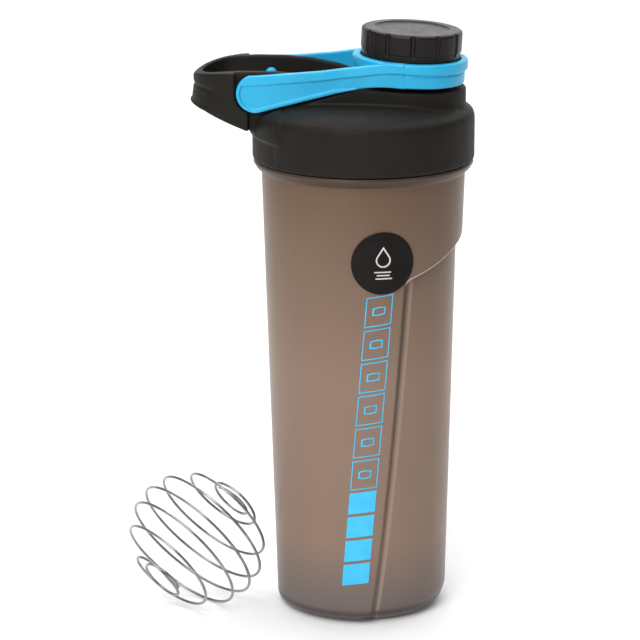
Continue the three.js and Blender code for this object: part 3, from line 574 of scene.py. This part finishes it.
def make_label():
    """The round sticker: rings of points on the wall, with a soft edge."""
    middle = -math.pi / 2 + LABEL_AZIMUTH
    shape = [(0.0, 0.62), (4.0, 0.62), (8.0, 0.62), (12.2, 0.62), (12.7, 0.58), (12.93, 0.5),
             (LABEL_RADIUS, 0.4), (LABEL_RADIUS, 0.05), (12.6, 0.0), (8.0, 0.0), (0.0, 0.0)]
    around = np.linspace(0, TAU, 97)[:-1]
    points, quads = [], []
    for radius, lift in shape:
        radius = max(radius, 0.02)
        points.append(on_wall(radius * np.cos(around), LABEL_HEIGHT + radius * np.sin(around), lift, middle))
    count = len(around)
    for ring in range(len(shape) - 1):
        a = np.arange(count) + ring * count
        b = np.roll(np.arange(count), -1) + ring * count
        quads.append(np.stack([a, a + count, b + count, b], -1))
    top, bottom = np.arange(count), np.arange(count) + (len(shape) - 1) * count
    fan_top = [(0, k, k + 1) for k in range(1, count - 1)]
    fan_bottom = [(bottom[0], bottom[k + 1], bottom[k]) for k in range(1, count - 1)]
    return mesh_object("label_disc", np.vstack(points), np.array(fan_top + fan_bottom), np.vstack(quads))


def make_label_icon():
    """A plain drop over three short rules, printed on the sticker."""
    step = 0.09
    x, z = np.meshgrid(np.arange(-6.5, 6.5 + step, step), np.arange(-8, 8 + step, step))
    cx, cz = (x[:-1, :-1] + x[1:, 1:]) / 2, (z[:-1, :-1] + z[1:, 1:]) / 2
    tip, round_z, round_r = 7.0, 1.4, 3.0
    circle = np.hypot(cx, cz - round_z) - round_r
    length = tip - round_z
    sine = round_r / length
    cosine = math.sqrt(1 - sine * sine)
    cone = np.abs(cx) * cosine - (tip - cz) * sine
    tangent = round_z + round_r * sine
    drop = np.where(cz > tangent, np.maximum(cone, cz - tip), circle)
    filled = (np.abs(drop + 0.25) < 0.3)
    for row, half in enumerate((3.4, 2.6, 3.4)):
        centre = -3.6 - row * 1.35
        filled |= (np.abs(cz - centre) < 0.26) & (np.abs(cx - 0.25 * row + 0.2) < half)
    middle = -math.pi / 2 + LABEL_AZIMUTH
    return wall_patch("label_icon", x, LABEL_HEIGHT + z, filled, middle, 0.5, 0.66)


PRINT_LOW, PRINT_SPLIT, PRINT_HIGH = 18.0, 60.0, 144.0
PRINT_HALF_WIDTH, PRINT_LEAN = 5.5, 0.083
PRINT_STROKE = 0.42


def print_cells(u, v):
    """Where the print has ink, by distance across its band and height: slanted blocks, then outlined ones."""
    slanted = v - 0.14 * u
    inside_band = np.abs(u) < PRINT_HALF_WIDTH
    solid_count, open_count = 4, 6
    solid_pitch = (PRINT_SPLIT - PRINT_LOW) / solid_count
    open_pitch = (PRINT_HIGH - PRINT_SPLIT) / open_count
    phase = np.mod(slanted - PRINT_LOW, solid_pitch)
    solid = (slanted > PRINT_LOW) & (slanted < PRINT_SPLIT) & (phase < solid_pitch - 1.3) & inside_band
    phase = np.mod(slanted - PRINT_SPLIT, open_pitch)
    block_high = open_pitch - 1.3
    in_open = (slanted > PRINT_SPLIT) & (slanted < PRINT_HIGH) & (phase < block_high) & inside_band
    edge = np.minimum(np.minimum(phase, block_high - phase) * 0.95, PRINT_HALF_WIDTH - np.abs(u))
    core = (np.abs(phase - block_high / 2) < 1.9 - 0.12 * np.abs(u)) & (np.abs(u) < 2.6)
    core_edge = core & ~((np.abs(phase - block_high / 2) < 1.35 - 0.12 * np.abs(u)) & (np.abs(u) < 2.05))
    return solid | (in_open & (edge < PRINT_STROKE)) | (in_open & core_edge)


def make_print():
    step = 0.22
    u, v = np.meshgrid(np.arange(-6, 6 + step, step), np.arange(15, 147, step))
    cu, cv = (u[:-1, :-1] + u[1:, 1:]) / 2, (v[:-1, :-1] + v[1:, 1:]) / 2
    across = u + 1.0 + PRINT_LEAN * (v - 19.0)
    return wall_patch("print_band", across, v, print_cells(cu, cv), -math.pi / 2, -0.02, 0.07)


# ---- gasket and liner ----

def ring_rows(profile, step=0.4):
    rows = rows_along([*profile, profile[0]], step)[:-1]
    return np.array([p[0] for p in rows]), np.array([p[1] for p in rows])


def closed_ring(name, profile, around=160, place=Matrix.Identity(4)):
    r, z = ring_rows(profile)
    angle = np.linspace(0, TAU, around + 1)[:-1]
    points = np.stack([r[:, None] * np.cos(angle), r[:, None] * np.sin(angle), z[:, None] + 0 * angle], -1)
    index = np.arange(points.shape[0] * around).reshape(-1, around)
    below, beside = np.roll(index, -1, axis=0), np.roll(index, -1, axis=1)
    both = np.roll(below, -1, axis=1)
    quads = np.stack([index, beside, both, below], -1).reshape(-1, 4)
    return mesh_object(name, points.reshape(-1, 3), np.zeros((0, 3), int), quads, place)


def make_gasket():
    low, high = (corner.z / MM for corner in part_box("lid_gasket"))
    middle = (low + high) / 2
    return closed_ring("gasket_ring", [
        (39.2, low + 0.3), (39.4, low), (40.3, low), (40.6, low + 0.25), (41.3, low + 0.25), (41.6, low),
        (42.5, low), (42.7, low + 0.3), (42.7, middle), (42.7, high - 0.3), (42.5, high),
        (39.4, high), (39.2, high - 0.3)])


def make_liner():
    bottom, top, rim = 19.4, 20.4, 16.8
    rows = rows_along([(0.3, bottom), (10.6, bottom), (10.9, bottom + 0.15), (11.3, bottom + 0.15),
                       (11.6, bottom), (rim - 0.25, bottom), (rim, bottom + 0.25), (rim, top - 0.2),
                       (rim - 0.2, top), (0.3, top)], 0.5)
    r, z = np.array([p[0] for p in rows])[:, None], np.array([p[1] for p in rows])[:, None]
    angles = np.broadcast_to(np.linspace(0, TAU, 121)[:-1], (len(rows), 120))
    liner = sheet("liner_disc", r, angles, z)
    liner.data.transform(SPOUT_PLACE)
    return liner


# ---- mixer ball ----

BALL_RADIUS, BALL_HALF_LENGTH, WIRE_RADIUS = 29.6, 25.6, 0.6
BALL_END_ANGLE, BALL_PHASE = math.radians(18.4), math.radians(221.9)
BALL_TURNS, BALL_CROWDING = 6.06, 0.245
BALL_END_TURNS, BALL_END_INSET, BALL_END_SHRINK = 1.14, 1.67, 1.01
BALL_LEAN, BALL_SWING = math.radians(35.5), math.radians(47.6)


def ball_path(count):
    turn = np.linspace(0, BALL_TURNS + 2 * BALL_END_TURNS, count) - BALL_END_TURNS
    past = np.maximum(0, np.maximum(-turn, turn - BALL_TURNS))
    share = np.clip(turn / BALL_TURNS, 0, 1)
    opened = share + BALL_CROWDING * np.sin(share * TAU) / TAU
    polar = BALL_END_ANGLE + (math.pi - 2 * BALL_END_ANGLE) * opened
    across = BALL_RADIUS * np.sin(polar) - BALL_END_SHRINK * past
    along = BALL_HALF_LENGTH * np.cos(polar)
    along = along - np.sign(along) * BALL_END_INSET * past
    angle = turn * TAU + BALL_PHASE
    return np.stack([across * np.cos(angle), across * np.sin(angle), along], -1)


def tube(name, path, radius, sides):
    """A round wire along a path, with its ends rounded off."""
    tangent = np.gradient(path, axis=0)
    tangent /= np.linalg.norm(tangent, axis=1)[:, None]
    normal = np.cross(tangent[0], [0.3, 0.5, 0.8])
    normals = []
    for t in tangent:
        normal = normal - t * (normal @ t)
        normal = normal / np.linalg.norm(normal)
        normals.append(normal)
    normals = np.array(normals)
    binormals = np.cross(tangent, normals)
    cap = np.linspace(0.12, math.pi / 2, 5)[:-1]
    before = [(0, -radius * math.cos(c), radius * math.sin(c)) for c in cap]
    after = [(len(path) - 1, radius * math.cos(c), radius * math.sin(c)) for c in cap[::-1]]
    stations = before + [(i, 0.0, radius) for i in range(len(path))] + after
    angle = np.linspace(0, TAU, sides + 1)[:-1]
    rings = [path[i] + tangent[i] * shift + size * (np.cos(angle)[:, None] * normals[i]
                                                    + np.sin(angle)[:, None] * binormals[i])
             for i, shift, size in stations]
    points = np.concatenate(rings)
    index = np.arange(len(points)).reshape(-1, sides)
    beside = np.roll(index, -1, axis=1)
    quads = np.stack([index[:-1], beside[:-1], beside[1:], index[1:]], -1).reshape(-1, 4)
    last = index[-1]
    ends = [(0, k + 1, k) for k in range(1, sides - 1)] + [(last[0], last[k], last[k + 1])
                                                          for k in range(1, sides - 1)]
    return mesh_object(name, points, np.array(ends), quads)


def make_ball():
    wire = tube("whisk_wire", ball_path(1500), WIRE_RADIUS, 12)
    leaning = Matrix.Rotation(math.pi / 2 - BALL_LEAN, 4, "Y")
    wire.data.transform(Matrix.Rotation(BALL_SWING, 4, "Z") @ leaning)
    points = np.array([v.co for v in wire.data.vertices]) / MM
    shift = (BALL_LOW + BALL_HIGH) / 2 - Vector((points.min(0) + points.max(0)) / 2)
    shift.z = BALL_LOW.z - points[:, 2].min()
    wire.data.transform(Matrix.Translation(shift * MM))
    return wire


# ---- materials ----

class Nodes:
    """A short way to write a node material."""

    def __init__(self, name):
        self.material = bpy.data.materials.new(name)
        self.material.use_nodes = True
        self.tree = self.material.node_tree
        self.shader = self.tree.nodes["Principled BSDF"]
        self.place = self.add("ShaderNodeTexCoord").outputs["Object"]

    def add(self, kind, inputs=None, **settings):
        node = self.tree.nodes.new(kind)
        for key, value in settings.items():
            setattr(node, key, value)
        for key, value in (inputs or {}).items():
            self.feed(node.inputs[key], value)
        return node

    def feed(self, socket, value):
        if isinstance(value, bpy.types.NodeSocket):
            self.tree.links.new(value, socket)
        else:
            socket.default_value = value

    def set(self, **values):
        for key, value in values.items():
            self.feed(self.shader.inputs[key.replace("_", " ")], value)

    def noise(self, scale, detail=4.0, roughness=0.55, stretch=None):
        at = self.place
        if stretch:
            at = self.add("ShaderNodeMapping", {"Vector": at, "Scale": stretch}).outputs[0]
        return self.add("ShaderNodeTexNoise", {"Vector": at, "Scale": scale, "Detail": detail,
                                               "Roughness": roughness}).outputs["Fac"]

    def between(self, factor, low, high, at=(0.35, 0.65)):
        """A value that runs from low to high as the factor crosses a range."""
        return self.add("ShaderNodeMapRange", {"Value": factor, "From Min": at[0], "From Max": at[1],
                                               "To Min": low, "To Max": high}).outputs["Result"]

    def blend(self, factor, first, second):
        mix = self.add("ShaderNodeMix", data_type="RGBA")
        self.feed(mix.inputs["Factor"], factor)
        self.feed(mix.inputs["A"], (*first, 1) if isinstance(first, tuple) else first)
        self.feed(mix.inputs["B"], (*second, 1) if isinstance(second, tuple) else second)
        return mix.outputs["Result"]

    def bump(self, height, depth, strength=1.0, over=None):
        inputs = {"Height": height, "Distance": depth, "Strength": strength}
        if over is not None:
            inputs["Normal"] = over
        return self.add("ShaderNodeBump", inputs).outputs["Normal"]

    def math(self, operation, first, second=0.0):
        return self.add("ShaderNodeMath", {0: first, 1: second}, operation=operation).outputs[0]

    def split(self):
        node = self.add("ShaderNodeSeparateXYZ", {"Vector": self.place})
        return [node.outputs[axis] for axis in "XYZ"]

    def peak(self, value, middle, width, flat=0.0):
        """1 at one value and a flat part round it, falling to 0 at a width on either side of it."""
        away = self.math("ABSOLUTE", self.math("SUBTRACT", value, middle))
        return self.between(away, 1.0, 0.0, (flat, width))

    def height_share(self, low, high):
        """0 below one height of the bottle and 1 above another, in metres."""
        return self.between(self.split()[2], 0.0, 1.0, (low, high))

    def convex_edges(self, low, high):
        """1 on outer edges. It drives painted edge highlights, and in moulded plastic also the lower
        roughness of edges polished by handling.
        """
        point = self.add("ShaderNodeNewGeometry").outputs["Pointiness"]
        return self.between(point, 0.0, 1.0, (low, high))


def moulded(name, colour, edge_highlight_colour, roughness, specular, grain, spread=0.07):
    """Moulded plastic: a fine grain, faint flow clouds in the colour, edges polished by handling to a lower
    roughness, and a painted highlight that brightens the colour on outer edges.
    """
    n = Nodes(name)
    cloud = n.noise(38.0, 5.0)
    fine = n.noise(2600.0, 3.0, 0.6)
    scuffs = n.noise(170.0, 6.0, 0.7, (1.0, 1.0, 0.25))
    edges = n.convex_edges(0.505, 0.56)
    colours = n.blend(n.between(cloud, 0.0, 1.0), colour, tuple(c * 1.25 for c in colour))
    # Painted highlight: outer edges are blended towards the highlight colour.
    colours = n.blend(n.math("MULTIPLY", edges, 0.35), colours, edge_highlight_colour)
    rough = n.between(scuffs, roughness - spread, roughness + spread, (0.3, 0.7))
    rough = n.math("SUBTRACT", rough, n.math("MULTIPLY", edges, 0.12))
    normal = n.bump(n.noise(60.0, 2.0), 0.00012, 0.35)
    n.set(Base_Color=colours, Roughness=rough, Normal=n.bump(fine, grain, 0.5, normal))
    n.shader.inputs["Specular IOR Level"].default_value = specular
    return n.material


def smoke_plastic():
    """Milky smoke polypropylene that passes a little light but shows no shapes. Painted shade makes it greyer
    low down and darker high up.
    Painted light and shade also mark the recess's arch (a painted highlight), its upright step (a painted
    dark line with a painted light band beside it), the flange (painted shade under the lid's skirt), the
    bead's top edge and face (painted highlights) and the base corner (a painted dark band)."""
    n = Nodes("smoke_plastic")
    x, y, z = n.split()
    flow = n.noise(24.0, 4.0, 0.5, (1.0, 1.0, 0.5))
    # Painted shade: the wall's colour is greyer and darker below 34 mm, and darker above 105 mm.
    colours = n.blend(n.height_share(0.004, 0.034), (0.150, 0.130, 0.126), (0.275, 0.186, 0.140))
    colours = n.blend(n.height_share(0.105, 0.186), colours, (0.140, 0.086, 0.054))
    colours = n.blend(n.between(flow, 0.0, 0.12), colours, (0.33, 0.24, 0.18))
    inwards = n.math("SUBTRACT", GRIP_HALF_WIDTH * MM, n.math("ABSOLUTE", y))
    upright = n.math("MULTIPLY", n.between(z, 1.0, 0.0, (0.146, 0.150)), n.between(x, 0.0, 1.0, (0.0, 0.004)))
    across = n.math("POWER", n.math("DIVIDE", n.math("ABSOLUTE", y), GRIP_HALF_WIDTH * MM), GRIP_ARCH_POWER)
    arch_z = n.math("SUBTRACT", GRIP_CROWN * MM, n.math("MULTIPLY", across, (GRIP_CROWN - GRIP_CORNER) * MM))
    under_arch = n.math("SUBTRACT", arch_z, z)
    on_arch = n.math("MULTIPLY", n.between(x, 0.0, 1.0, (0.008, 0.016)),
                     n.between(inwards, 0.0, 1.0, (0.0, 0.0015)))
    cone = n.math("ADD", n.math("MULTIPLY", z, CUP_TAPER), CUP_BASE_RADIUS * MM)
    step_x = n.math("SQRT", n.math("SUBTRACT", n.math("MULTIPLY", cone, cone), (GRIP_HALF_WIDTH * MM) ** 2))
    past = n.math("SUBTRACT", x, step_x)
    # Painted light: a pale band on the recess floor just beside the upright step.
    beside = n.math("MULTIPLY", upright, n.peak(past, 0.0022, 0.0009, 0.0003))
    # Painted shade: a dark line along the edge of the recess's upright step.
    painted_step_shade = n.math("MULTIPLY", upright, n.peak(past, 0.0001, 0.0010, 0.0002))
    # Painted highlight: a bright line along the arch over the recess.
    painted_arch_highlight = n.math("MULTIPLY", on_arch, n.peak(under_arch, 0.0007, 0.0013, 0.0006))
    # Painted highlights: pale lines along the bead's top edge and along its face.
    painted_rim_highlights = n.math("ADD", n.peak(z, (BEAD_TOP - 0.1) * MM, 0.0003), n.peak(z, BEAD_FACE[1] * MM, 0.0003))
    # Painted shade: the flange and the neck above it, under the lid's skirt, are darkened.
    flange = n.between(z, 0.0, 0.7, ((BEAD_BOTTOM - 0.2) * MM, (BEAD_BOTTOM + 0.2) * MM))
    colours = n.blend(n.math("MULTIPLY", beside, 0.5), colours, (0.44, 0.34, 0.27))
    colours = n.blend(n.math("MULTIPLY", painted_step_shade, 0.55), colours, (0.060, 0.045, 0.037))
    colours = n.blend(n.math("MULTIPLY", painted_arch_highlight, 0.9), colours, (0.85, 0.78, 0.70))
    colours = n.blend(flange, colours, (0.040, 0.025, 0.018))
    colours = n.blend(n.math("MULTIPLY", painted_rim_highlights, 0.3), colours, (0.22, 0.16, 0.13))
    # Painted shade: a dark band round the base corner, about 4 mm up.
    colours = n.blend(n.peak(z, 0.0044, 0.0022), colours, (0.085, 0.070, 0.065))
    satin = n.noise(900.0, 3.0, 0.6)
    tall = (1.0, 1.0, 0.6)
    waves = n.bump(n.noise(32.0, 2.0, 0.5, tall), 0.0001, 0.2)
    n.set(Base_Color=colours, Roughness=n.between(n.noise(120.0, 4.0, 0.6, tall), 0.30, 0.36, (0.3, 0.7)),
          Normal=n.bump(satin, 0.00001, 0.2, waves))
    n.shader.inputs["Transmission Weight"].default_value = 0.06
    n.shader.inputs["IOR"].default_value = 1.49
    n.shader.inputs["Specular IOR Level"].default_value = 0.15
    return n.material


def strap_plastic():
    n = Nodes("blue_plastic")
    cloud = n.noise(55.0, 4.0)
    fine = n.noise(2200.0, 3.0)
    edges = n.convex_edges(0.505, 0.57)
    colours = n.blend(n.between(cloud, 0.0, 1.0), (0.012, 0.43, 0.73), (0.02, 0.48, 0.80))
    # Painted highlight: outer edges are blended fully to a bright cyan.
    colours = n.blend(edges, colours, (0.10, 0.68, 0.93))
    n.set(Base_Color=colours, Roughness=n.between(n.noise(200.0, 5.0, 0.7), 0.3, 0.44, (0.3, 0.7)),
          Normal=n.bump(fine, 0.00003, 0.5, n.bump(n.noise(70.0, 2.0), 0.0001, 0.3)))
    n.shader.inputs["Subsurface Weight"].default_value = 0.12
    n.shader.inputs["Subsurface Radius"].default_value = (0.2, 0.6, 1.0)
    n.shader.inputs["Subsurface Scale"].default_value = 0.002
    return n.material


def steel_wire():
    """Bright drawn wire: fine die lines, and faint grey handling clouds."""
    n = Nodes("steel_wire")
    cloud = n.noise(160.0, 4.0)
    lines = n.noise(3200.0, 2.0, 0.6)
    n.set(Base_Color=n.blend(n.between(cloud, 0.0, 1.0), (0.24, 0.24, 0.24), (0.38, 0.38, 0.385)),
          Roughness=n.between(lines, 0.18, 0.34), Normal=n.bump(lines, 0.00001, 0.5))
    n.shader.inputs["Metallic"].default_value = 1.0
    return n.material


def vinyl():
    n = Nodes("label_vinyl")
    fine = n.noise(1900.0, 3.0)
    cloud = n.between(n.noise(90.0), 0.0, 1.0)
    n.set(Base_Color=n.blend(cloud, (0.0065, 0.0050, 0.0042), (0.0100, 0.0076, 0.0066)),
          Roughness=n.between(n.noise(260.0, 5.0), 0.5, 0.6), Normal=n.bump(fine, 0.00001, 0.4))
    n.shader.inputs["Specular IOR Level"].default_value = 0.15
    return n.material


def ink(name, colour, second):
    """Screen-printed ink, a little uneven in density."""
    n = Nodes(name)
    n.set(Base_Color=n.blend(n.between(n.noise(140.0, 5.0), 0.0, 1.0), colour, second),
          Roughness=n.between(n.noise(500.0), 0.35, 0.5), Normal=n.bump(n.noise(2400.0), 0.00001, 0.4))
    return n.material


def silicone():
    n = Nodes("seal_rubber")
    n.set(Base_Color=n.blend(n.between(n.noise(80.0), 0.0, 1.0), (0.58, 0.58, 0.56), (0.68, 0.68, 0.66)),
          Roughness=n.between(n.noise(300.0), 0.5, 0.68), Normal=n.bump(n.noise(1500.0), 0.00002, 0.5))
    n.shader.inputs["Subsurface Weight"].default_value = 0.1
    n.shader.inputs["Subsurface Scale"].default_value = 0.002
    return n.material


# ---- pieces ----

def place_piece(piece, body, material, slot, *nodes):
    piece.data.materials.append(material)
    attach(piece, body)
    if nodes:
        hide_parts(*nodes)


BLACK = moulded("black_plastic", (0.0125, 0.0106, 0.0084), (0.032, 0.028, 0.024), 0.58, 0.15, 0.00004)
CAP_BLACK = moulded("cap_plastic", (0.0105, 0.0078, 0.0068), (0.04, 0.035, 0.032), 0.34, 0.24, 0.00002)
place_piece(make_cup(), "cup", smoke_plastic(), "smoke_plastic", "cup")
place_piece(make_label(), "cup", vinyl(), "label_vinyl", "round_label")
place_piece(make_label_icon(), "cup", ink("icon_ink", (0.62, 0.61, 0.60), (0.72, 0.71, 0.70)), "label_vinyl")
place_piece(make_print(), "cup", ink("print_ink", (0.035, 0.50, 0.88), (0.05, 0.58, 0.93)), "blue_plastic")
place_piece(make_gasket(), "seal", silicone(), "seal_rubber", "lid_gasket")
place_piece(make_lid(), "lid", BLACK, "black_plastic", "lid_shell")
place_piece(make_strap(), "strap", strap_plastic(), "blue_plastic", "carry_strap")
place_piece(make_cap(), "cap", CAP_BLACK, "cap_plastic", "spout_cap")
place_piece(make_liner(), "cap", silicone(), "seal_rubber", "cap_liner")
place_piece(make_ball(), "ball", steel_wire(), "steel_wire", "mixer_ball")


# ---- floor, light and camera ----

def make_floor():
    """A pale floor that rises into a backdrop in one curve."""
    reach, back, height, bend = 3.0, 1.6, 3.0, 0.9
    profile = [(-2.5, 0.0), (0.0, 0.0), (back - bend, 0.0)]
    profile += [(back - bend + bend * math.sin(a), bend - bend * math.cos(a))
                for a in np.linspace(0.1, math.pi / 2, 12)]
    profile.append((back, height))
    points = [(side * reach / MM, y / MM, z / MM) for y, z in profile for side in (-1, 1)]
    quads = [(2 * i, 2 * i + 1, 2 * i + 3, 2 * i + 2) for i in range(len(profile) - 1)]
    floor = mesh_object("floor", np.array(points), np.zeros((0, 3), int), np.array(quads))
    n = Nodes("pale_floor")
    n.set(Base_Color=n.blend(n.noise(3.0), (0.90, 0.90, 0.90), (0.93, 0.93, 0.93)), Roughness=0.7)
    n.shader.inputs["Emission Color"].default_value = (1, 1, 1, 1)
    n.shader.inputs["Emission Strength"].default_value = 0.06
    floor.data.materials.append(n.material)


def softbox(name, place, aim, width, height, watts):
    data = bpy.data.lights.new(name, "AREA")
    data.shape = "RECTANGLE"
    data.size, data.size_y, data.energy = width, height, watts
    lamp = bpy.data.objects.new(name, data)
    bpy.context.scene.collection.objects.link(lamp)
    lamp.location = place
    lamp.rotation_euler = (Vector(aim) - Vector(place)).to_track_quat("-Z", "Y").to_euler()


def make_light():
    world = bpy.data.worlds.new("studio")
    world.use_nodes = True
    world.node_tree.nodes["Background"].inputs["Color"].default_value = (1, 1, 1, 1)
    world.node_tree.nodes["Background"].inputs["Strength"].default_value = 0.10
    bpy.context.scene.world = world
    middle = (0.0, 0.0, 0.13)
    softbox("key", (-0.38, -1.27, 1.15), middle, 1.0, 0.9, 21.0)
    softbox("top", (0.0, 0.65, 1.7), (0.0, 0.65, 0.0), 2.4, 2.2, 38.0)


CAMERA_DISTANCE, CAMERA_HEIGHT, CAMERA_PITCH = 1.362, 0.482, math.radians(14.8)
CAMERA_AZIMUTH, CAMERA_ASIDE, CAMERA_FOCAL = math.radians(6.6), 0.0179, 3370 / 640


def make_camera():
    data = bpy.data.cameras.new("camera")
    data.sensor_width = 36.0
    data.lens = CAMERA_FOCAL * data.sensor_width
    camera = bpy.data.objects.new("camera", data)
    bpy.context.scene.collection.objects.link(camera)
    a = CAMERA_AZIMUTH
    ahead, right = Vector((-math.sin(a), math.cos(a), 0)), Vector((math.cos(a), math.sin(a), 0))
    camera.location = -CAMERA_DISTANCE * ahead - CAMERA_ASIDE * right + Vector((0, 0, CAMERA_HEIGHT))
    look = ahead * math.cos(CAMERA_PITCH) - Vector((0, 0, math.sin(CAMERA_PITCH)))
    camera.rotation_euler = look.to_track_quat("-Z", "Y").to_euler()
    bpy.context.scene.camera = camera


make_floor()
make_light()
make_camera()
bpy.context.scene.view_settings.view_transform = "Standard"
